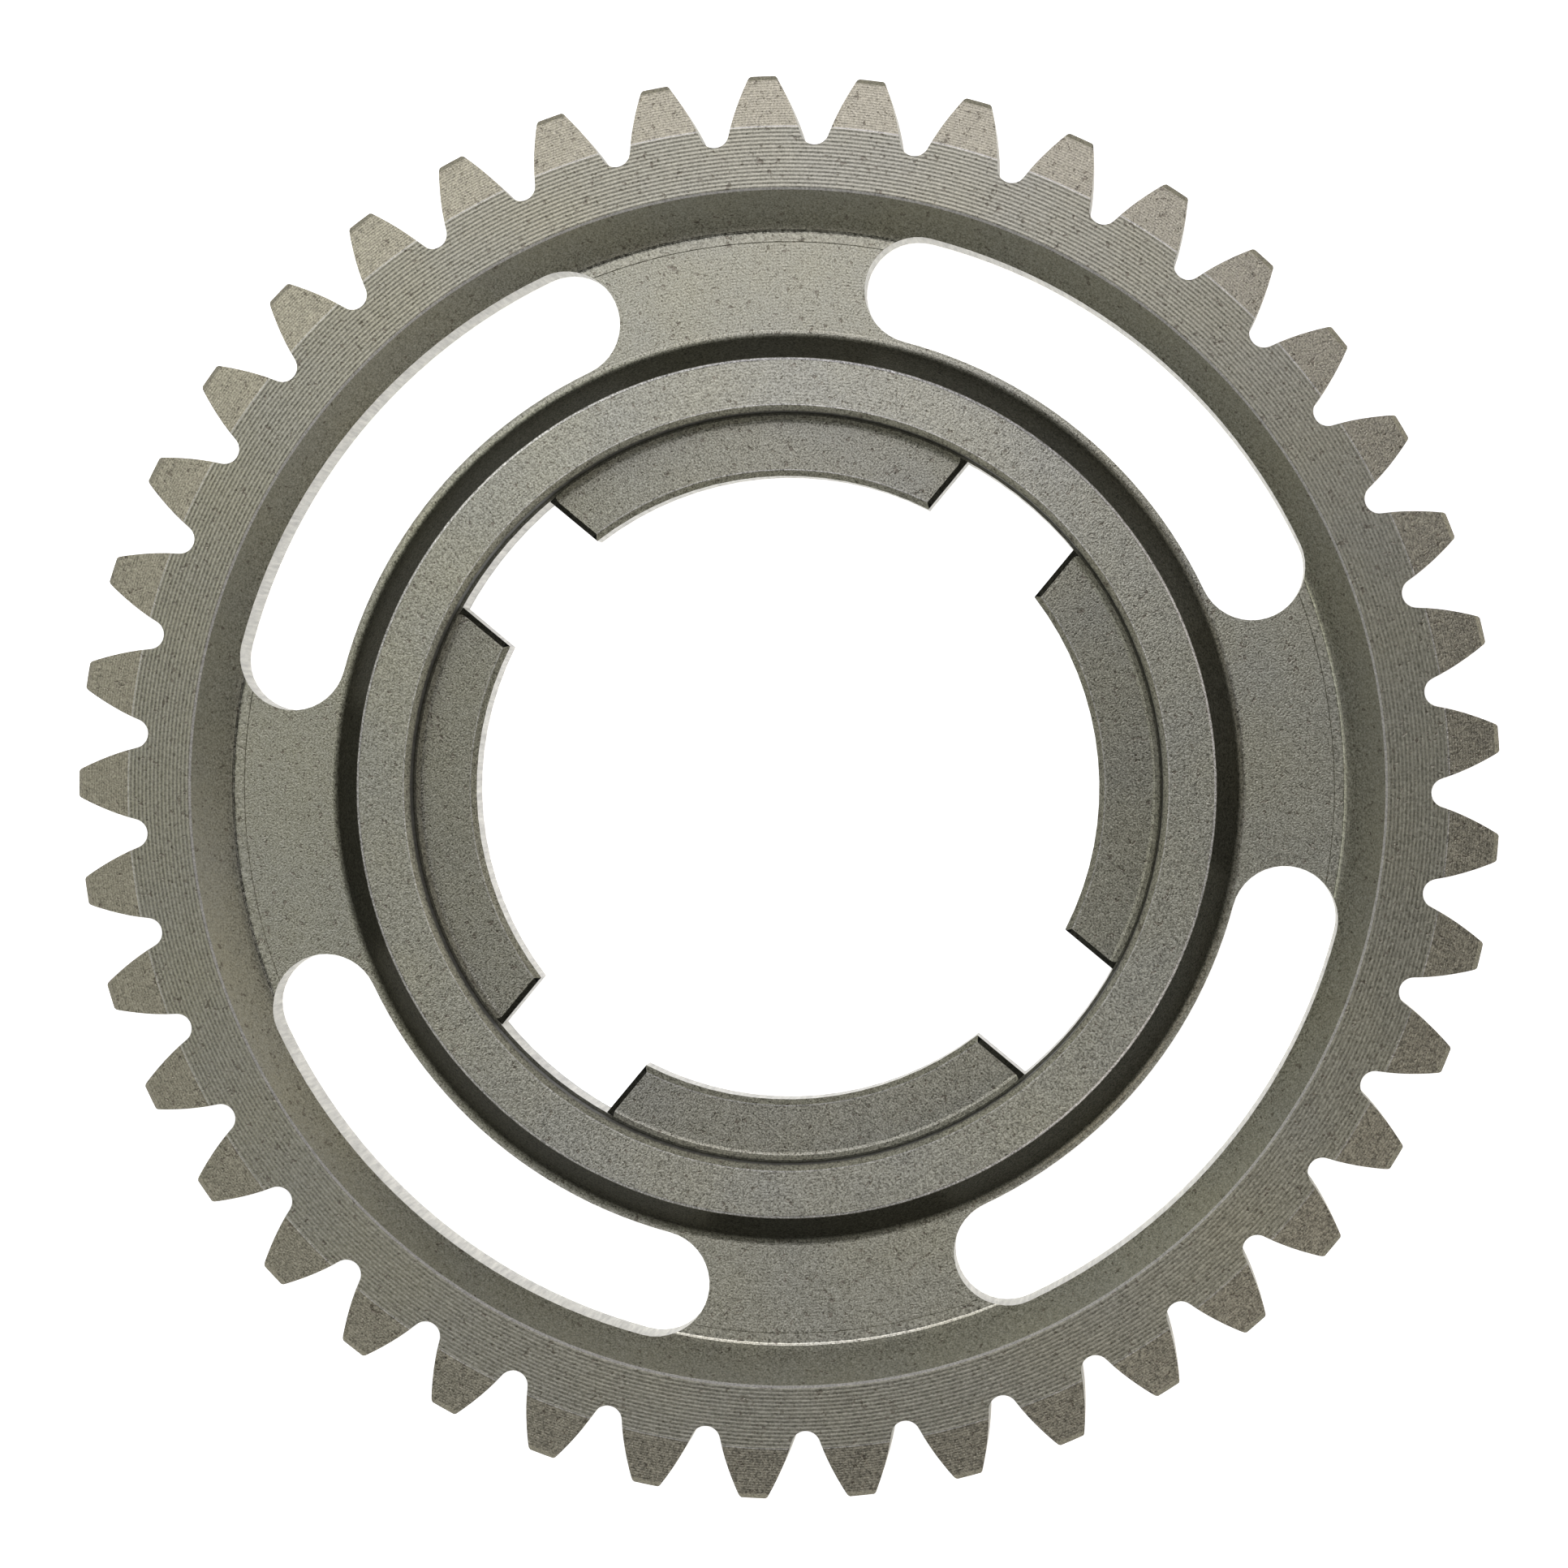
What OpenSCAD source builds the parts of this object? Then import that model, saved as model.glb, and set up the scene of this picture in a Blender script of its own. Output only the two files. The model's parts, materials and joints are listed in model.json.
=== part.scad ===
// Straight-cut transmission gear, turned and cut from one piece of steel.
// A toothed rim stands on a slotted web round a raised hub ring. Inside the
// ring four dogs reach in to the shaft, with a notch between each pair.
// +Z runs along the shaft axis, and the origin is on that axis at the back
// of the hub. Front and back are alike.

/* [Teeth] */
// Number of teeth
teeth = 41; // [38:1:60]
// Module: pitch diameter over number of teeth, mm
gear_module = 2.5; // [2.35:0.05:3.5]
// Pressure angle at the pitch circle, degrees
pressure_angle = 20; // [18:0.5:22]
// Profile shift, in modules
profile_shift = 0.58; // [0.3:0.01:0.8]
// Tooth height above the shifted pitch line, in modules
addendum = 0.81; // [0.6:0.01:0.9]
// Tooth depth below the shifted pitch line, in modules
dedendum = 1.3; // [1.1:0.01:1.35]
// Angle from +X, a notch centre, to the first tooth centre, degrees
tooth_phase = -0.22; // [-5:0.01:5]
// Width of the rim along the axis, mm
rim_w = 10.2; // [8:0.1:14]
// Chamfer at both ends of each tooth tip, mm
tip_chamfer = 0.35; // [0.1:0.05:0.6]
// Break along both sides of each tooth tip, mm
tip_break = 0.12; // [0.05:0.01:0.25]
// Radial length of the sloped part of each tooth end, mm
bevel_l = 3.9; // [2:0.1:4.5]
// Slope of that part, degrees
end_bevel = 3; // [1:0.5:6]

/* [Rim and web] */
// Radial wall of the rim under the tooth roots, mm
rim_wall = 3.4; // [2.5:0.1:5]
// Slope of the rim's inner flank from the web, degrees
rim_slope = 41; // [35:1:60]
// Thickness of the web, mm
web_w = 5; // [3.5:0.1:7]
// Fillet radius where the web meets the rim and the hub, mm
web_fillet = 0.8; // [0.4:0.1:1.2]
// Height of the turned step at the foot of the rim, mm
foot_step = 0.06; // [0.03:0.01:0.1]
// Width of the turned step at the foot of the rim, mm
foot_w = 1.0; // [0.7:0.1:1.5]

/* [Hub] */
// Width of the hub ring along the axis, mm
hub_w = 10.4; // [9:0.1:14]
// Radial wall of the hub ring at its end faces, mm
hub_wall = 4; // [3:0.05:6]
// Slope of the hub's outer flank from the web, degrees
hub_slope = 54; // [45:1:70]
// Chamfer at the mouth of the counterbore, mm
mouth_chamfer = 0.45; // [0.2:0.05:0.8]
// Break along the turned edges of the hub and rim, mm
edge_break = 0.12; // [0.05:0.01:0.2]

/* [Dogs] */
// Bore across the tips of the dogs, mm
bore_d = 48.2; // [44:0.1:50]
// Radial length of the dogs, mm
dog_l = 4.9; // [4:0.1:6]
// Thickness of the dogs along the axis, mm
dog_w = 5; // [4:0.1:7]
// Chamfer round both ends of the bore, mm
bore_chamfer = 0.45; // [0.2:0.05:0.8]
// Fillet radius in the corner of the counterbore, mm
corner_fillet = 0.8; // [0.2:0.05:1]
// Number of dogs, and of notches between them
dogs = 4; // [3:1:6]
// Width of each notch between its parallel sides, mm
notch_w = 10.6; // [8:0.1:14]
// Chamfer along the sides of each notch, mm
notch_chamfer = 0.4; // [0.1:0.05:0.8]
// Step from the counterbore wall in to the root of each notch, mm
notch_step = 0.25; // [0.05:0.01:0.4]

/* [Slots] */
// Number of slots through the web
slots = 4; // [3:1:5]
// Angle between the end centres of each slot, degrees
slot_sweep = 49.9; // [30:0.1:54]
// Land left on the web between the hub and each slot, mm
slot_land = 0.6; // [0.4:0.1:1.5]
// How far each slot reaches past the foot of the rim's flank, mm
slot_bite = 0.6; // [0.2:0.05:0.8]

/* [Hidden] */
steel = [0.46, 0.45, 0.41];
$fn = 96;
flank_steps = 6;
root_steps = 6;
fillet_steps = 6;
slot_steps = 24;
end_steps = 20;
solve_steps = 40;
// Start of the search for the root round, just past the lowest circle
hair = 0.001;
// Overshoot of the cutters past the faces that they cut
over = 1;

// Tooth circles
pitch_r = gear_module * teeth / 2;
base_r = pitch_r * cos(pressure_angle);
tip_r = pitch_r + gear_module * (profile_shift + addendum);
root_r = pitch_r + gear_module * (profile_shift - dedendum);
tooth_pitch = 360 / teeth;

// Heights above the mid plane
hub_h = hub_w / 2;
rim_h = rim_w / 2;
web_h = web_w / 2;
dog_h = dog_w / 2;
foot_h = web_h + foot_step;

// Radii of the section, from the bore outward
bore_r = bore_d / 2;
corner_r = bore_r + dog_l;
notch_r = corner_r - notch_step;
hub_r = corner_r + hub_wall;
hub_foot_r = hub_r + (hub_h - web_h) / tan(hub_slope);
rim_inner_r = root_r - rim_wall;
rim_foot_r = rim_inner_r - (rim_h - foot_h) / tan(rim_slope);

// Slots
slot_inner_r = hub_foot_r + slot_land;
slot_outer_r = rim_foot_r + slot_bite;
slot_w = slot_outer_r - slot_inner_r;
slot_mid_r = (slot_inner_r + slot_outer_r) / 2;

function polar(r, a) = [r * cos(a), r * sin(a)];
function to_deg(x) = x * 180 / PI;

// Involute function: the turn from the involute's start to where its pressure angle is a
function involute_angle(a) = to_deg(tan(a)) - a;

// Half the angle of the tooth at a radius beyond the base circle
half_tooth = to_deg((PI / 2 + 2 * profile_shift * tan(pressure_angle)) / teeth);
function half_tooth_at(r) =
    half_tooth + involute_angle(pressure_angle) - involute_angle(acos(base_r / r));

// Half the angle of the gap between two teeth at that radius
function half_gap_at(r) = tooth_pitch / 2 - half_tooth_at(r);

// Angle between the flank's normal and the gap's centreline, at a radius
function lean_at(r) = acos(base_r / r) + half_gap_at(r);

// Centre and radius of the round that meets the flank at r, and its lowest reach
function round_r(r) = r * sin(half_gap_at(r)) / cos(lean_at(r));
function round_mid(r) = r * cos(half_gap_at(r)) + round_r(r) * sin(lean_at(r));
function round_low(r) = round_mid(r) - round_r(r);

// Radius at which a round that touches both flanks also touches the root circle
function solve_round(low, high, n) =
    n == 0 ? (low + high) / 2 :
    round_low((low + high) / 2) > root_r ? solve_round(low, (low + high) / 2, n - 1) :
    solve_round((low + high) / 2, high, n - 1);

flank_r = solve_round(max(root_r, base_r) + hair, tip_r, solve_steps);
root_round = round_r(flank_r);
root_mid = round_mid(flank_r);
root_lean = lean_at(flank_r);

// One side of a tooth gap about +X: the round root, then the involute flank and the tip's break
function root_side() = [
    for (i = [0 : root_steps - 1])
        let (a = 180 - (90 - root_lean) * i / root_steps)
            [root_mid, 0] + polar(root_round, a)
];
function flank_side() = [
    for (i = [0 : flank_steps])
        let (r = flank_r + (tip_r - tip_break - flank_r) * i / flank_steps)
            polar(r, half_gap_at(r))
];
tip_gap = half_gap_at(tip_r) + to_deg(2 * tip_break / tip_r);
function tip_side() = [polar(tip_r + tip_break, tip_gap), polar(tip_r + over, tip_gap)];
function gap_side() = concat(root_side(), flank_side(), tip_side());
function mirrored(points) = [for (i = [len(points) - 1 : -1 : 1]) [points[i].x, -points[i].y]];

// Arc that rounds the corner b between the lines to a and c, with a radius
function unit(v) = v / norm(v);
function fillet(a, b, c, r) =
    let (u = unit(a - b))
    let (v = unit(c - b))
    let (half = acos(u * v) / 2)
    let (mid = b + unit(u + v) * r / sin(half))
    let (from = b + u * r / tan(half) - mid)
    let (to = b + v * r / tan(half) - mid)
    let (sweep = 180 - 2 * half)
    [
        for (i = [0 : fillet_steps])
            let (k = i / fillet_steps)
                mid + (from * sin(sweep * (1 - k)) + to * sin(sweep * k)) / sin(sweep)
    ];

// Front half of the turned section, from the bore outward
bevel_drop = (bevel_l - tip_chamfer) * tan(end_bevel);
hub_edge = [hub_r, hub_h];
hub_foot = [hub_foot_r, web_h];
step_foot = [rim_foot_r - foot_w, web_h];
step_top = [rim_foot_r - foot_w + foot_step, foot_h];
rim_foot = [rim_foot_r, foot_h];
rim_edge = [rim_inner_r, rim_h];
front_half = concat(
    [[bore_r, dog_h - bore_chamfer], [bore_r + bore_chamfer, dog_h]],
    fillet([bore_r, dog_h], [corner_r, dog_h], [corner_r, hub_h], corner_fillet),
    [[corner_r, hub_h - mouth_chamfer], [corner_r + mouth_chamfer, hub_h]],
    [hub_edge - [edge_break, 0], hub_edge + edge_break * unit(hub_foot - hub_edge)],
    fillet(hub_edge, hub_foot, step_foot, web_fillet),
    [step_foot, step_top],
    fillet(step_top, rim_foot, rim_edge, web_fillet),
    [rim_edge + edge_break * unit(rim_foot - rim_edge), rim_edge + [edge_break, 0]],
    [[tip_r - bevel_l, rim_h], [tip_r - tip_chamfer, rim_h - bevel_drop]],
    [[tip_r, rim_h - bevel_drop - tip_chamfer]]
);
back_half = [for (i = [len(front_half) - 1 : -1 : 0]) [front_half[i].x, -front_half[i].y]];

module turned_blank() {
    rotate_extrude()
        polygon(concat(front_half, back_half));
}

module tooth_gap() {
    linear_extrude(rim_w + 2 * over, center = true)
        polygon(concat(gap_side(), mirrored(gap_side())));
}

// Outline of one slot about +X: the outer arc, a half round, the inner arc and a half round
function arc(mid, r, from, to, steps) = [
    for (i = [0 : steps - 1])
        mid + polar(r, from + (to - from) * i / steps)
];
slot_half = slot_sweep / 2;
slot_outline = concat(
    arc([0, 0], slot_outer_r, -slot_half, slot_half, slot_steps),
    arc(polar(slot_mid_r, slot_half), slot_w / 2, slot_half, slot_half + 180, end_steps),
    arc([0, 0], slot_inner_r, slot_half, -slot_half, slot_steps),
    arc(polar(slot_mid_r, -slot_half), slot_w / 2, 180 - slot_half, 360 - slot_half, end_steps)
);

module slot() {
    linear_extrude(hub_w + 2 * over, center = true)
        polygon(slot_outline);
}

// Section of a notch across its own length: parallel sides with a chamfer at each face
module notch_section() {
    side = notch_w / 2;
    flare = notch_chamfer + over;
    straight = dog_h - notch_chamfer;
    polygon([
        [-side, -straight], [-side - flare, -straight - flare],
        [side + flare, -straight - flare], [side, -straight],
        [side, straight], [side + flare, straight + flare],
        [-side - flare, straight + flare], [-side, straight]
    ]);
}

module notch() {
    rotate([90, 0, 90])
        linear_extrude(notch_r + over)
            notch_section();
}

module gear() {
    color(steel)
        translate([0, 0, hub_h])
            difference() {
                turned_blank();
                for (i = [0 : teeth - 1])
                    rotate(tooth_phase + (i + 0.5) * tooth_pitch)
                        tooth_gap();
                for (i = [0 : slots - 1])
                    rotate(i * 360 / slots)
                        slot();
                intersection() {
                    cylinder(r = notch_r, h = hub_w, center = true);
                    for (i = [0 : dogs - 1])
                        rotate(i * 360 / dogs)
                            notch();
                }
            }
}

gear();
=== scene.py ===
"""Looks of a one-piece steel transmission gear: tumbled, turned steel on a white floor."""
import json
import math

import bpy
from mathutils import Matrix, Vector


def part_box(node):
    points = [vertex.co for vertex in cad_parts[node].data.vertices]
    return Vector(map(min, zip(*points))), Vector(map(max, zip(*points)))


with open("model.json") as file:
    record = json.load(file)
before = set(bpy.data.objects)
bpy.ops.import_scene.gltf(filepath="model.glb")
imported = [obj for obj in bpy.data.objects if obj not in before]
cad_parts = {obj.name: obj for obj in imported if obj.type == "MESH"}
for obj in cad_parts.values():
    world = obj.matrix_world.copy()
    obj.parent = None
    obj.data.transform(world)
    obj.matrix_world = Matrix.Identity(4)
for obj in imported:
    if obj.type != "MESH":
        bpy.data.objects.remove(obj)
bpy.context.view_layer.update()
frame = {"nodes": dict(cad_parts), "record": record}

# Units and frame
MM = 0.001
NODE = "gear"
LOW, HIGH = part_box(NODE)
MIDDLE_Z = (LOW.z + HIGH.z) / 2
FACE_MIDDLE = Vector((0, 0, HIGH.z))
AXIS = (0, 0, 1)
MOUNTS = {row["name"]: row for row in frame["record"]["mounts"]}

# Sizes of the turned section
DOG_L = 4.9 * MM
DOG_HALF_W = 2.5 * MM
CHAMFER = 0.45 * MM
CORNER_FILLET = 0.8 * MM
HUB_WALL = 4.0 * MM
HUB_FLANK_L = 2.3 * MM
WEB_L = 6.9 * MM
FOOT_STEP_W = 1.0 * MM
RIM_FLANK_L = 3.85 * MM
TOOTH_BEVEL_L = 3.9 * MM

# Radii of the gear's zones, from the bore outward; a tooth's tip lies on +X
BORE_R = MOUNTS["shaft_bore"]["dims"]["r_mm"] * MM
CORNER_R = BORE_R + DOG_L
HUB_INNER_R = CORNER_R + CHAMFER
HUB_OUTER_R = CORNER_R + HUB_WALL
WEB_INNER_R = HUB_OUTER_R + HUB_FLANK_L
FOOT_R = WEB_INNER_R + WEB_L
RIM_INNER_R = FOOT_R + RIM_FLANK_L
TIP_R = HIGH.x
BEVEL_R = TIP_R - TOOTH_BEVEL_L

# View: the photograph looks down on the front face, from a little to the right
IMAGE_PX = 1932
SCALE_MM_PX = 0.06233
CENTRE_PX = (967.1, 971.1)
TILT = 3.2
TILT_CLOCKWISE = 81.0
CAMERA_DISTANCE = 0.476
SENSOR_MM = 36.0
CLIP_START = 0.01

# Directions in the image, in degrees clockwise from its top; the gear's +Y is a notch's centre
IMAGE_UP = 0
IMAGE_RIGHT = 90
IMAGE_DOWN = 180
NOTCH_CLOCKWISE = 39.67


def image_direction(clockwise):
    """Unit vector in the gear's plane that points clockwise degrees from the image's top."""
    a = math.radians(90 + NOTCH_CLOCKWISE - clockwise)
    return Vector((math.cos(a), math.sin(a), 0))


def raised(clockwise, elevation):
    """Unit vector towards a direction in the image, lifted by elevation degrees."""
    rise = math.radians(elevation)
    return image_direction(clockwise) * math.cos(rise) + Vector(AXIS) * math.sin(rise)


def look_at(obj, place, target, up):
    """Places obj at place with its -Z axis on target and its +Y axis towards up."""
    back = (place - target).normalized()
    right = up.cross(back).normalized()
    axes = Matrix((right, back.cross(right), back)).transposed()
    obj.matrix_world = Matrix.Translation(place) @ axes.to_4x4()


def add_object(name, data):
    obj = bpy.data.objects.new(name, data)
    bpy.context.scene.collection.objects.link(obj)
    return obj


# Noise of the finer marks
GRAIN_DETAIL = 2.0
GRAIN_ROUGHNESS = 0.6


class Graph:
    """A node graph, built one value at a time."""

    def __init__(self, owner):
        owner.use_nodes = True
        self.tree = owner.node_tree

    def node(self, kind, **settings):
        made = self.tree.nodes.new(kind)
        for key, value in settings.items():
            setattr(made, key, value)
        return made

    def feed(self, socket, value):
        """Links a socket to another, or sets it to a plain value."""
        if isinstance(value, bpy.types.NodeSocket):
            self.tree.links.new(value, socket)
        else:
            socket.default_value = value

    def math(self, operation, a, b=0.0, clamp=False):
        made = self.node("ShaderNodeMath", operation=operation, use_clamp=clamp)
        self.feed(made.inputs[0], a)
        self.feed(made.inputs[1], b)
        return made.outputs[0]

    def times(self, *values):
        out = values[0]
        for value in values[1:]:
            out = self.math("MULTIPLY", out, value)
        return out

    def plus(self, *values):
        out = values[0]
        for value in values[1:]:
            out = self.math("ADD", out, value)
        return out

    def vector_math(self, operation, a, b=(0, 0, 0)):
        made = self.node("ShaderNodeVectorMath", operation=operation)
        self.feed(made.inputs[0], a)
        self.feed(made.inputs[1], b)
        scalar = operation in ("LENGTH", "DOT_PRODUCT")
        return made.outputs["Value" if scalar else "Vector"]

    def ramp(self, value, low, high, out_low=0.0, out_high=1.0):
        """Smooth step from out_low, where value is low, to out_high, where it is high."""
        made = self.node("ShaderNodeMapRange", interpolation_type="SMOOTHSTEP")
        for socket, given in zip(made.inputs, (value, low, high, out_low, out_high)):
            self.feed(socket, given)
        return made.outputs[0]

    def fall(self, value, low, high, top=1.0):
        """Smooth step from top, where value is low, to 0, where it is high."""
        return self.ramp(value, low, high, top, 0.0)

    def band(self, value, low, high, edge):
        """1 where value lies between low and high, with soft edges."""
        rise = self.ramp(value, low - edge, low + edge)
        return self.times(rise, self.fall(value, high - edge, high + edge))

    def noise(self, place, size, detail=GRAIN_DETAIL, roughness=GRAIN_ROUGHNESS):
        """Noise about zero, with grains of a size."""
        made = self.node("ShaderNodeTexNoise")
        self.feed(made.inputs["Vector"], place)
        made.inputs["Scale"].default_value = 1 / size
        made.inputs["Detail"].default_value = detail
        made.inputs["Roughness"].default_value = roughness
        return self.math("SUBTRACT", made.outputs["Fac"], 0.5)

    def mix(self, share, a, b, blend="MIX"):
        made = self.node("ShaderNodeMix", data_type="RGBA", blend_type=blend)
        self.feed(made.inputs["Factor"], share)
        self.feed(made.inputs["A"], a)
        self.feed(made.inputs["B"], b)
        return made.outputs["Result"]

    def shade(self, colour, factor):
        """Colour times a plain factor."""
        grey = self.node("ShaderNodeCombineColor")
        for socket in grey.inputs:
            self.feed(socket, factor)
        return self.mix(1.0, colour, grey.outputs[0], "MULTIPLY")


# Colours of the steel
STEEL_WARM = (0.300, 0.288, 0.208, 1)
STEEL_COOL = (0.280, 0.276, 0.224, 1)
STEEL_TOOTH = (0.325, 0.303, 0.224, 1)
STEEL_RUST = (0.110, 0.090, 0.066, 1)
# Pale colour of the painted edge highlights and of the milled walls
STEEL_HIGHLIGHT_AND_MILLED = (0.610, 0.595, 0.555, 1)
# Near-black colour of the painted shade in the recesses and on the chamfers
STEEL_PAINTED_SHADE = (0.010, 0.011, 0.009, 1)

# Widths of the broken edges that get a painted highlight, and of the soft borders between zones
EDGE_W = 0.09 * MM
SOFT = 0.05 * MM
FILLET_EDGE = 0.18 * MM

# Leans: how much of a face's normal points up, out or sideways where a zone starts and ends
FLAT_UP = (0.93, 0.985)
WALL_UP = (0.15, 0.35)
EDGE_UP = (0.96, 0.99)
CHAMFER_UP = (0.4, 0.6)
TIP_UP = (0.5, 0.9)
TIP_UP_EDGE = 0.05
FOOT_UP = (0.5, 0.6)
LEVEL_UP = (0.998, 0.9995)
GLINT_UP = (0.93, 0.965)
HUB_FLANK_OUT = (0.15, 0.75)
CORNER_OUT = (-0.9, -0.55)
MOUTH_OUT = (-0.7, -0.3)
DOG_END_SIDE = (0.35, 0.55)


class Place:
    """Where a point of the gear is and how its surface faces, in the gear's own frame."""

    def __init__(self, g):
        coords = g.node("ShaderNodeTexCoord")
        self.at = coords.outputs["Object"]
        flat_place = g.vector_math("MULTIPLY", self.at, (1, 1, 0))
        spoke = g.vector_math("NORMALIZE", flat_place)
        normal = coords.outputs["Normal"]
        tangent = g.vector_math("CROSS_PRODUCT", AXIS, spoke)
        depth = g.vector_math("DOT_PRODUCT", self.at, AXIS)
        self.radius = g.vector_math("LENGTH", flat_place)
        self.from_middle = g.math("ABSOLUTE", g.math("SUBTRACT", depth, MIDDLE_Z))
        self.up = g.math("ABSOLUTE", g.vector_math("DOT_PRODUCT", normal, AXIS))
        self.out = g.vector_math("DOT_PRODUCT", normal, spoke)
        self.side = g.math("ABSOLUTE", g.vector_math("DOT_PRODUCT", normal, tangent))
        self.flat = g.ramp(self.up, *FLAT_UP)
        self.wall = g.fall(self.up, *WALL_UP)
        self.above_dogs = g.ramp(self.from_middle, DOG_HALF_W, DOG_HALF_W + SOFT)
        self.on_hub = g.band(self.radius, HUB_INNER_R, HUB_OUTER_R, SOFT)
        self.on_rim = g.ramp(self.radius, RIM_INNER_R, RIM_INNER_R + SOFT)
        self.on_teeth = g.ramp(self.radius, BEVEL_R - SOFT, BEVEL_R + SOFT)


# Turned lines: inner and outer radius, feed of the tool for each turn, and depth
TURNED_ZONES = (
    (RIM_INNER_R, BEVEL_R, 0.298 * MM, 1.0),
    (BEVEL_R, TIP_R, 0.194 * MM, 0.45),
    (WEB_INNER_R, FOOT_R, 0.238 * MM, 0.16),
    (HUB_INNER_R, HUB_OUTER_R, 0.238 * MM, 0.16),
)
LINE_WOBBLE = 0.05 * MM
TARNISH_LEAD = -0.52


def turned_lines(g, here, wobble, lead):
    """Lines that the turning tool leaves on the end faces, shifted by a lead in radians."""
    place = g.plus(here.radius, wobble)
    lines = []
    for inner, outer, feed, depth in TURNED_ZONES:
        turns = g.math("DIVIDE", place, feed)
        wave = g.math("SINE", g.plus(g.times(turns, 2 * math.pi), lead))
        lines.append(g.times(wave, g.band(here.radius, inner, outer, SOFT), depth))
    return g.times(g.plus(*lines), here.flat)


# Grain: sizes, and how strongly each kind shows
FINE_GRAIN = 0.14 * MM
COARSE_GRAIN = 0.28 * MM
FINE_SHARE = 2.35
COARSE_SHARE = 1.2
RIM_GRAIN = 0.55
TOOTH_GRAIN = 0.2
WALL_GRAIN = 0.3
CUT_SHARE = 1.2
CUT_STRETCH = (1, 1, 0.05)


def grain_share(g, here):
    """How strong the grain of tumbling is: full on hub and web, fainter on rim and teeth."""
    rim = g.ramp(here.radius, FOOT_R, RIM_INNER_R, 1.0, RIM_GRAIN)
    return g.plus(rim, g.times(here.on_teeth, TOOTH_GRAIN))


def surface_grain(g, here, coarse):
    """Speckle of tumbling, and lines along the axis on the walls that were milled."""
    fine = g.noise(here.at, FINE_GRAIN)
    speckle = g.plus(g.times(fine, FINE_SHARE), g.times(coarse, COARSE_SHARE))
    speckle = g.times(speckle, grain_share(g, here))
    cut_lines = g.noise(g.vector_math("MULTIPLY", here.at, CUT_STRETCH), COARSE_GRAIN)
    return g.plus(
        g.times(speckle, g.ramp(here.wall, 0.0, 1.0, 1.0, WALL_GRAIN)),
        g.times(cut_lines, here.wall, CUT_SHARE),
    )


# Where the fillets glint, how bright the painted highlights on the edges are, and how pale the
# milled walls are
CORNER_GLINT = 0.75 * MM
FOOT_GLINT = (FOOT_R + 0.5 * MM, FOOT_R + 1.2 * MM)
RING_HIGHLIGHT = 0.4
RIM_EDGE_SHINE = 0.7
SLOT_WALL_SHINE = 0.6
TOOTH_FLANK_SHINE = 0.25


def highlighted_edge(g, here, radius):
    """1 on the broken edge that a turned face has at a radius, where a highlight is painted."""
    ring = g.band(here.radius, radius - EDGE_W, radius + EDGE_W, SOFT / 2)
    return g.times(ring, g.fall(here.up, *EDGE_UP))


def fillet_zone(g, here):
    """1 on the fillets in the corner of the counterbore and at the foot of the rim."""
    corner = g.band(here.radius, CORNER_R - CORNER_GLINT, CORNER_R + FILLET_EDGE, FILLET_EDGE)
    foot = g.band(here.radius, *FOOT_GLINT, FILLET_EDGE)
    rings = g.plus(g.times(corner, here.above_dogs), g.times(foot, g.ramp(here.up, *FOOT_UP)))
    return g.times(rings, g.fall(here.up, *LEVEL_UP))


def edge_highlights_and_milled_walls(g, here, rim_edge):
    """How far the painted highlights on sharp turned edges, and the paler milled walls, lighten
    the steel, from 0 to 1.
    """
    rings = []
    for ring_r in (BORE_R + CHAMFER, HUB_INNER_R, BEVEL_R):
        rings.append(g.band(here.radius, ring_r - SOFT, ring_r + SOFT, SOFT / 2))
    # Painted highlight lines on the edges of the chamfers and of the tooth bevel
    ring_highlights = g.times(g.plus(*rings), RING_HIGHLIGHT)
    # Painted highlight on the hub's outer edge
    hub_edge = highlighted_edge(g, here, HUB_OUTER_R)
    edges = g.plus(ring_highlights, hub_edge, g.times(rim_edge, RIM_EDGE_SHINE))
    outer = (RIM_INNER_R, RIM_INNER_R + SOFT)
    shine = g.ramp(here.radius, *outer, SLOT_WALL_SHINE, TOOTH_FLANK_SHINE)
    return g.math("MAXIMUM", edges, g.times(here.wall, shine))


# Painted shade: how dark each cut and corner is painted, from 0 to 1, and where the chamfers end
HUB_FLANK_PAINTED_SHADE = 0.76
CORNER_PAINTED_SHADE = 0.8
MOUTH_PAINTED_SHADE = 0.1
DOG_END_PAINTED_SHADE = 0.85
BORE_EDGE_PAINTED_SHADE = 0.2
TIP_PAINTED_SHADE = 0.35
BORE_EDGE_R = (BORE_R + 0.4 * MM, BORE_R + 0.5 * MM)
TIP_EDGE_R = (TIP_R - 0.4 * MM, TIP_R - 0.3 * MM)


def hub_painted_shade(g, here):
    """Painted shade on the hub ring: its outer flank, the counterbore's corner and the mouth's
    chamfer.
    """
    flank = g.times(
        g.band(here.radius, HUB_OUTER_R + EDGE_W, WEB_INNER_R, SOFT),
        g.ramp(here.out, *HUB_FLANK_OUT, 0.0, HUB_FLANK_PAINTED_SHADE),
    )
    corner = g.times(
        g.band(here.radius, CORNER_R - CORNER_FILLET, CORNER_R + SOFT, SOFT),
        here.above_dogs,
        g.fall(here.out, *CORNER_OUT, CORNER_PAINTED_SHADE),
    )
    mouth = g.times(
        g.band(here.radius, CORNER_R + SOFT, HUB_INNER_R - SOFT, SOFT),
        g.fall(here.out, *MOUTH_OUT, MOUTH_PAINTED_SHADE),
    )
    return g.plus(flank, corner, mouth)


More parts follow.
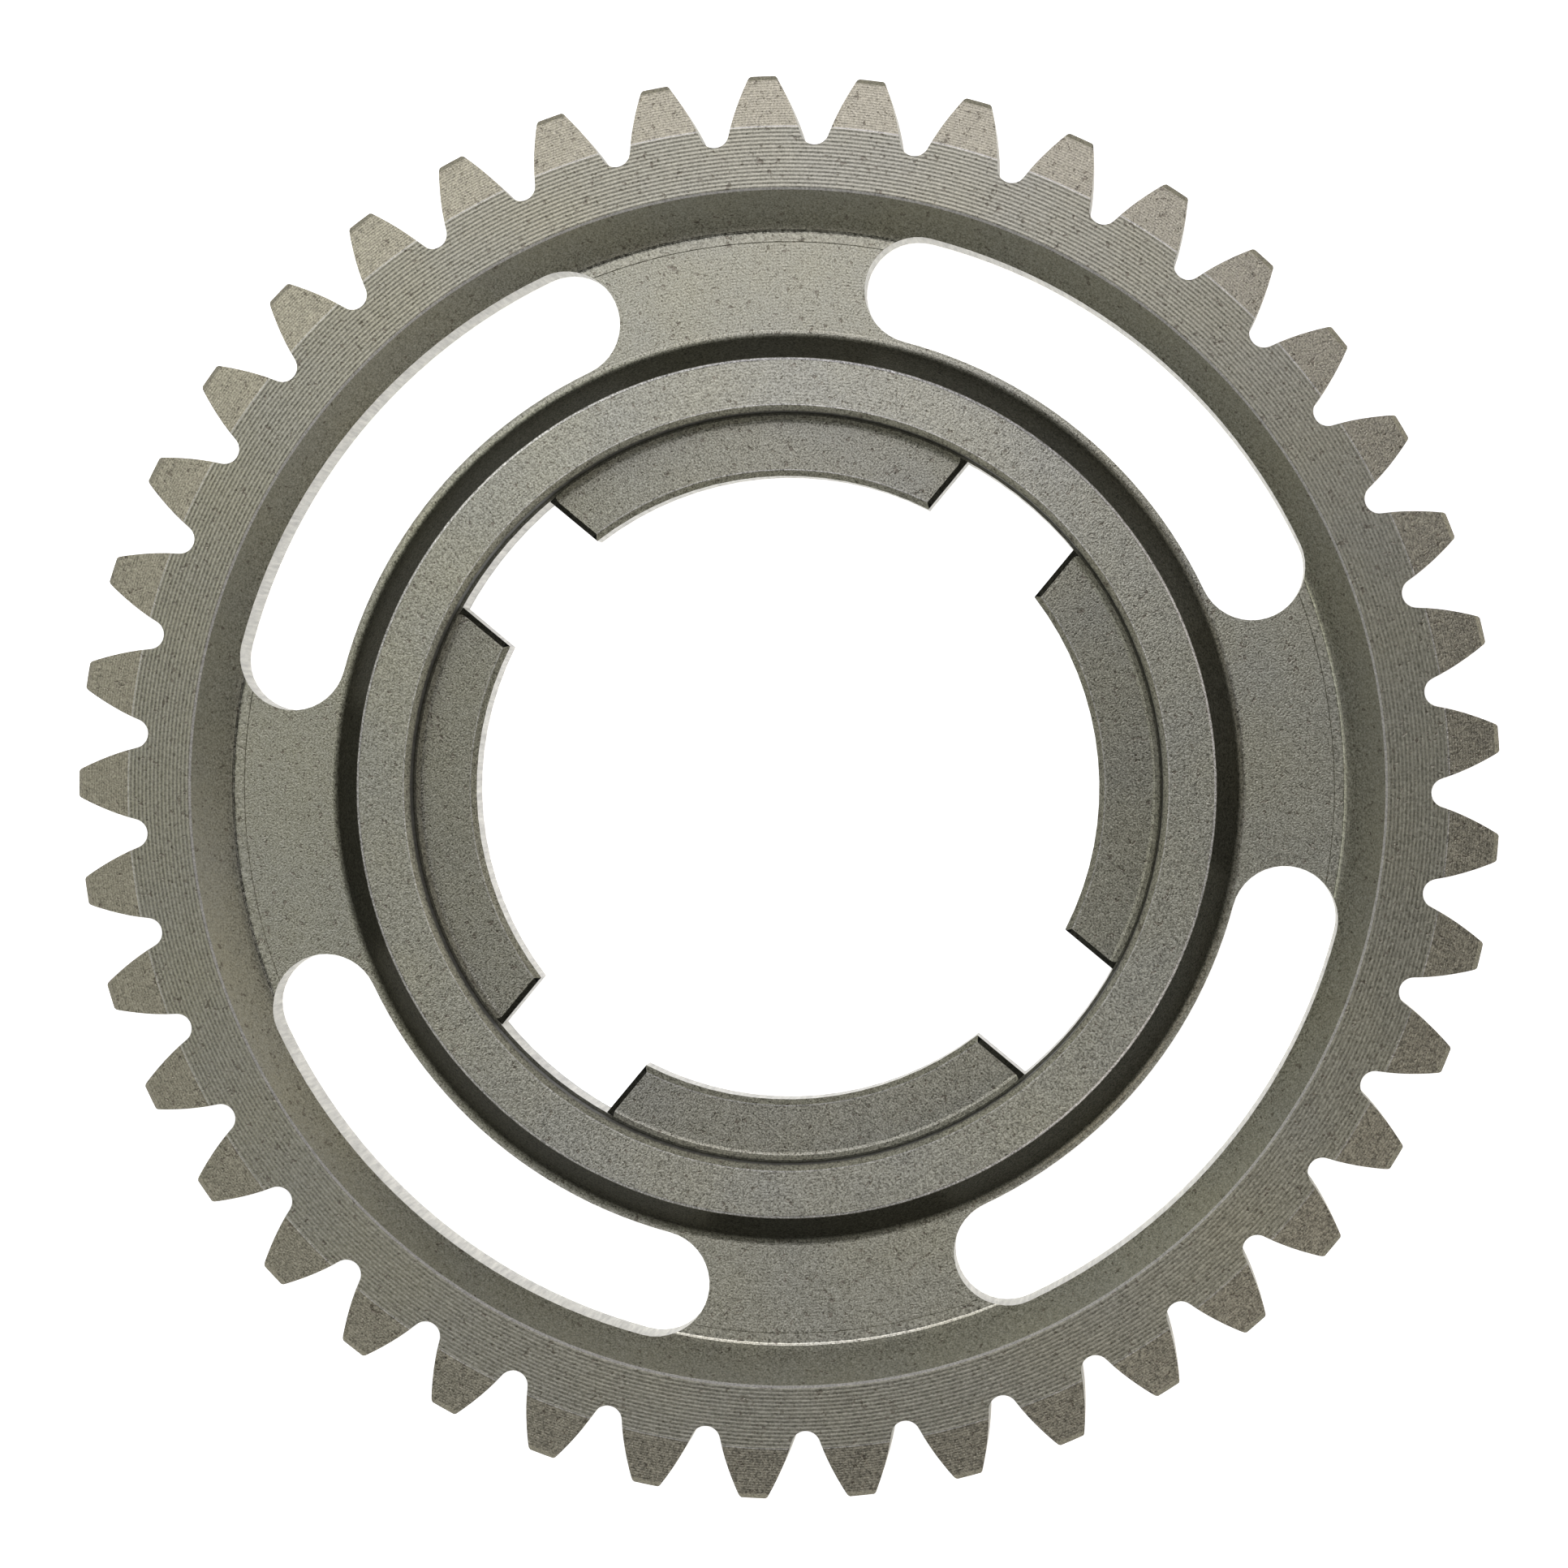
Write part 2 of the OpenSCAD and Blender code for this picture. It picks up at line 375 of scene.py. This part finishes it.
def edge_painted_shade(g, here):
    """Painted shade on the chamfers of the notches, the bore and the tooth tips."""
    chamfer = g.ramp(here.up, *CHAMFER_UP)
    dog_ends = g.times(
        g.fall(here.radius, CORNER_R - SOFT, CORNER_R + SOFT),
        g.ramp(here.side, *DOG_END_SIDE, 0.0, DOG_END_PAINTED_SHADE),
        chamfer,
    )
    bore_edge = g.times(g.fall(here.radius, *BORE_EDGE_R, BORE_EDGE_PAINTED_SHADE), chamfer)
    tips = g.times(
        g.ramp(here.radius, *TIP_EDGE_R, 0.0, TIP_PAINTED_SHADE),
        g.band(here.up, *TIP_UP, TIP_UP_EDGE),
    )
    return g.plus(dog_ends, bore_edge, tips)


# Clouds and pits
CLOUD_SIZE = 9.0 * MM
CLOUD_DETAIL = 3.0
CLOUD_ROUGHNESS = 0.5
PIT_SIZE = 0.5 * MM
PIT_LEVELS = (0.13, 0.19)


class Marks:
    """What tumbling, turning and milling leave on the steel, and the ring of the rim's edge where
    a highlight is painted.
    """

    def __init__(self, g, here):
        self.coarse = g.noise(here.at, COARSE_GRAIN)
        self.cloud = g.noise(here.at, CLOUD_SIZE, CLOUD_DETAIL, CLOUD_ROUGHNESS)
        self.pits = g.ramp(g.noise(here.at, PIT_SIZE), *PIT_LEVELS)
        wobble = g.times(self.cloud, LINE_WOBBLE)
        self.lines = turned_lines(g, here, wobble, 0.0)
        self.tarnish = turned_lines(g, here, wobble, TARNISH_LEAD)
        self.grain = surface_grain(g, here, self.coarse)
        self.fillets = fillet_zone(g, here)
        self.rim_edge = highlighted_edge(g, here, RIM_INNER_R)


# Colour: how strongly each mark tints or shades the steel
MIDDLE_TONE = 0.5
CLOUD_TONE = 1.6
HUB_TONE = 0.2
RIM_TINT = 0.2
PIT_TINT = 0.6
TARNISH_SHADE = 0.26
POLISH = 0.18
DOG_SHADE = -0.06
DARKEST = 0.15


def polish(g, here):
    """How much lighter than the rim the web and hub are, and how much darker the dogs."""
    web = g.band(here.radius, WEB_INNER_R, FOOT_R + FOOT_STEP_W, SOFT)
    dogs = g.fall(here.radius, CORNER_R - SOFT, CORNER_R, DOG_SHADE)
    return g.plus(g.times(g.plus(web, here.on_hub), here.flat, POLISH), dogs)


def steel_colour(g, here, marks):
    """Warm and cool steel in clouds, then the marks, the painted edge highlights and paler milled
    walls, and the painted shade over it.
    """
    tone = g.plus(g.times(marks.cloud, CLOUD_TONE), marks.coarse, g.times(here.on_hub, HUB_TONE))
    tone = g.math("ADD", tone, MIDDLE_TONE, clamp=True)
    colour = g.mix(tone, STEEL_WARM, STEEL_COOL)
    colour = g.mix(g.times(here.on_rim, RIM_TINT), colour, STEEL_TOOTH)
    colour = g.mix(here.on_teeth, colour, STEEL_TOOTH)
    colour = g.mix(g.times(marks.pits, PIT_TINT), colour, STEEL_RUST)
    # Painted highlights on the edges, and the paler milled walls
    colour = g.mix(edge_highlights_and_milled_walls(g, here, marks.rim_edge), colour, STEEL_HIGHLIGHT_AND_MILLED)
    light = g.plus(1.0, marks.grain, g.times(marks.tarnish, TARNISH_SHADE), polish(g, here))
    light = g.math("MAXIMUM", light, DARKEST)
    # Painted shade on the hub's flank, the counterbore's corner and the chamfers
    dark = g.plus(hub_painted_shade(g, here), edge_painted_shade(g, here))
    return g.mix(dark, g.shade(colour, light), STEEL_PAINTED_SHADE)


# Roughness of the grain from hollow to crest, and what edges and fillets add to it
GRAIN_LEVELS = (-0.2, 0.2)
GRAIN_ROUGH = (0.32, 0.42)
RIM_EDGE_ROUGH = 0.35
STEEP_FILLET_ROUGH = 0.3
LEVEL_FILLET_ROUGH = -0.15


def steel_roughness(g, here, marks):
    """Roughness of the grain, dulled on steep edges and fillets, burnished on level fillets."""
    fillet = g.ramp(here.up, *GLINT_UP, STEEP_FILLET_ROUGH, LEVEL_FILLET_ROUGH)
    return g.plus(
        g.ramp(marks.coarse, *GRAIN_LEVELS, *GRAIN_ROUGH),
        g.times(marks.rim_edge, RIM_EDGE_ROUGH),
        g.times(marks.fillets, fillet),
    )


# Heights of the marks
LINE_HEIGHT = 0.0045 * MM
GRAIN_HEIGHT = 0.006 * MM
FILLET_GRAIN_HEIGHT = 0.001 * MM
PIT_HEIGHT = -0.008 * MM


def steel_normal(g, marks):
    """Bump of the turned lines, grain and pits; the fillets are almost smooth."""
    height = g.plus(
        g.times(marks.lines, LINE_HEIGHT),
        g.times(marks.grain, g.ramp(marks.fillets, 0.0, 1.0, GRAIN_HEIGHT, FILLET_GRAIN_HEIGHT)),
        g.times(marks.pits, g.fall(marks.fillets, 0.0, 1.0, PIT_HEIGHT)),
    )
    bump = g.node("ShaderNodeBump")
    bump.inputs["Distance"].default_value = 1.0
    g.feed(bump.inputs["Height"], height)
    return bump.outputs[0]


# Sheen of the turned steel, drawn out across the lines
SHEEN_STRETCH = 0.58
SHEEN_TURN = 0.25


def steel():
    """The gear's one material."""
    material = bpy.data.materials.new("gear_steel")
    g = Graph(material)
    here = Place(g)
    marks = Marks(g, here)
    tangent = g.node("ShaderNodeTangent", direction_type="RADIAL", axis="Z")
    inputs = g.tree.nodes["Principled BSDF"].inputs
    inputs["Metallic"].default_value = 1.0
    inputs["Anisotropic"].default_value = SHEEN_STRETCH
    inputs["Anisotropic Rotation"].default_value = SHEEN_TURN
    g.feed(inputs["Base Color"], steel_colour(g, here, marks))
    g.feed(inputs["Roughness"], steel_roughness(g, here, marks))
    g.feed(inputs["Normal"], steel_normal(g, marks))
    g.feed(inputs["Tangent"], tangent.outputs[0])
    return material


# Floor
FLOOR_SIZE = 3.0
FLOOR_CORNERS = ((-1, -1), (1, -1), (1, 1), (-1, 1))
FLOOR_COLOUR = (0.92, 0.92, 0.92, 1)
FLOOR_ROUGHNESS = 0.9
FLOOR_GLOW = 1.0


def floor_material():
    """Pale and matt, with a glow of its own that keeps it white."""
    material = bpy.data.materials.new("pale_floor")
    inputs = Graph(material).tree.nodes["Principled BSDF"].inputs
    inputs["Base Color"].default_value = FLOOR_COLOUR
    inputs["Roughness"].default_value = FLOOR_ROUGHNESS
    inputs["Emission Color"].default_value = FLOOR_COLOUR
    inputs["Emission Strength"].default_value = FLOOR_GLOW
    return material


def add_floor():
    half = FLOOR_SIZE / 2
    mesh = bpy.data.meshes.new("floor")
    corners = [(x * half, y * half, LOW.z) for x, y in FLOOR_CORNERS]
    mesh.from_pydata(corners, [], [(0, 1, 2, 3)])
    mesh.materials.append(floor_material())
    add_object("floor", mesh)


# Camera
def add_camera():
    """The lens gives the image's scale, and the aim puts the gear at its place in it."""
    data = bpy.data.cameras.new("camera")
    pixel = SCALE_MM_PX * MM
    data.sensor_width = SENSOR_MM
    data.lens = SENSOR_MM * CAMERA_DISTANCE / (IMAGE_PX * pixel)
    data.clip_start = CLIP_START
    camera = add_object("camera", data)
    right = image_direction(IMAGE_RIGHT) * (IMAGE_PX / 2 - CENTRE_PX[0]) * pixel
    down = image_direction(IMAGE_DOWN) * (IMAGE_PX / 2 - CENTRE_PX[1]) * pixel
    target = FACE_MIDDLE + right + down
    away = raised(TILT_CLOCKWISE, 90 - TILT)
    look_at(camera, target + away * CAMERA_DISTANCE, target, image_direction(IMAGE_UP))
    bpy.context.scene.camera = camera


# Lights: name, degrees clockwise from the image's top, elevation, size, power and colour
LIGHT_DISTANCE = 1.0
COOL = (1.0, 0.988, 1.15)
PALE = (0.98, 1.0, 0.98)
WARM = (1.0, 0.935, 0.93)
LIGHTS = (
    ("key_light", 0, 70, 0.5, 1.95, COOL),
    ("top_light", 0, 48, 0.5, 0.3, COOL),
    ("left_light", -45, 48, 0.5, 1.5, PALE),
    ("high_light", -90, 70, 0.5, 0.65, PALE),
    ("right_light", 68, 22, 0.8, 0.9, WARM),
    ("fill_light", 135, 48, 0.5, 0.95, WARM),
    ("low_light", 225, 48, 0.5, 0.25, PALE),
)


def add_lights():
    """Soft disks of light, all aimed at the middle of the front face."""
    for name, clockwise, elevation, size, power, colour in LIGHTS:
        data = bpy.data.lights.new(name, "AREA")
        data.shape = "DISK"
        data.size = size
        data.energy = power
        data.color = colour
        place = FACE_MIDDLE + raised(clockwise, elevation) * LIGHT_DISTANCE
        look_at(add_object(name, data), place, FACE_MIDDLE, Vector(AXIS))


# Studio: elevations at which its walls end and its ceiling starts, and how bright both are
WALL_END = math.radians(25)
CEILING_START = math.radians(50)
WALL_GLOW = 0.54
CEILING_GLOW = 0.02


def add_world():
    """A studio with pale walls and a dark ceiling."""
    world = bpy.data.worlds.new("studio")
    g = Graph(world)
    coords = g.node("ShaderNodeTexCoord")
    height = g.vector_math("DOT_PRODUCT", coords.outputs["Generated"], AXIS)
    glow = g.ramp(height, math.sin(WALL_END), math.sin(CEILING_START), WALL_GLOW, CEILING_GLOW)
    background = g.tree.nodes["Background"]
    background.inputs["Color"].default_value = (1, 1, 1, 1)
    g.feed(background.inputs["Strength"], glow)
    bpy.context.scene.world = world


def dress_gear():
    """Gives the solid its steel."""
    finish = steel()
    for slot in frame["nodes"][NODE].material_slots:
        slot.material = finish


bpy.context.scene.view_settings.view_transform = "Standard"
add_camera()
add_lights()
add_world()
add_floor()
dress_gear()
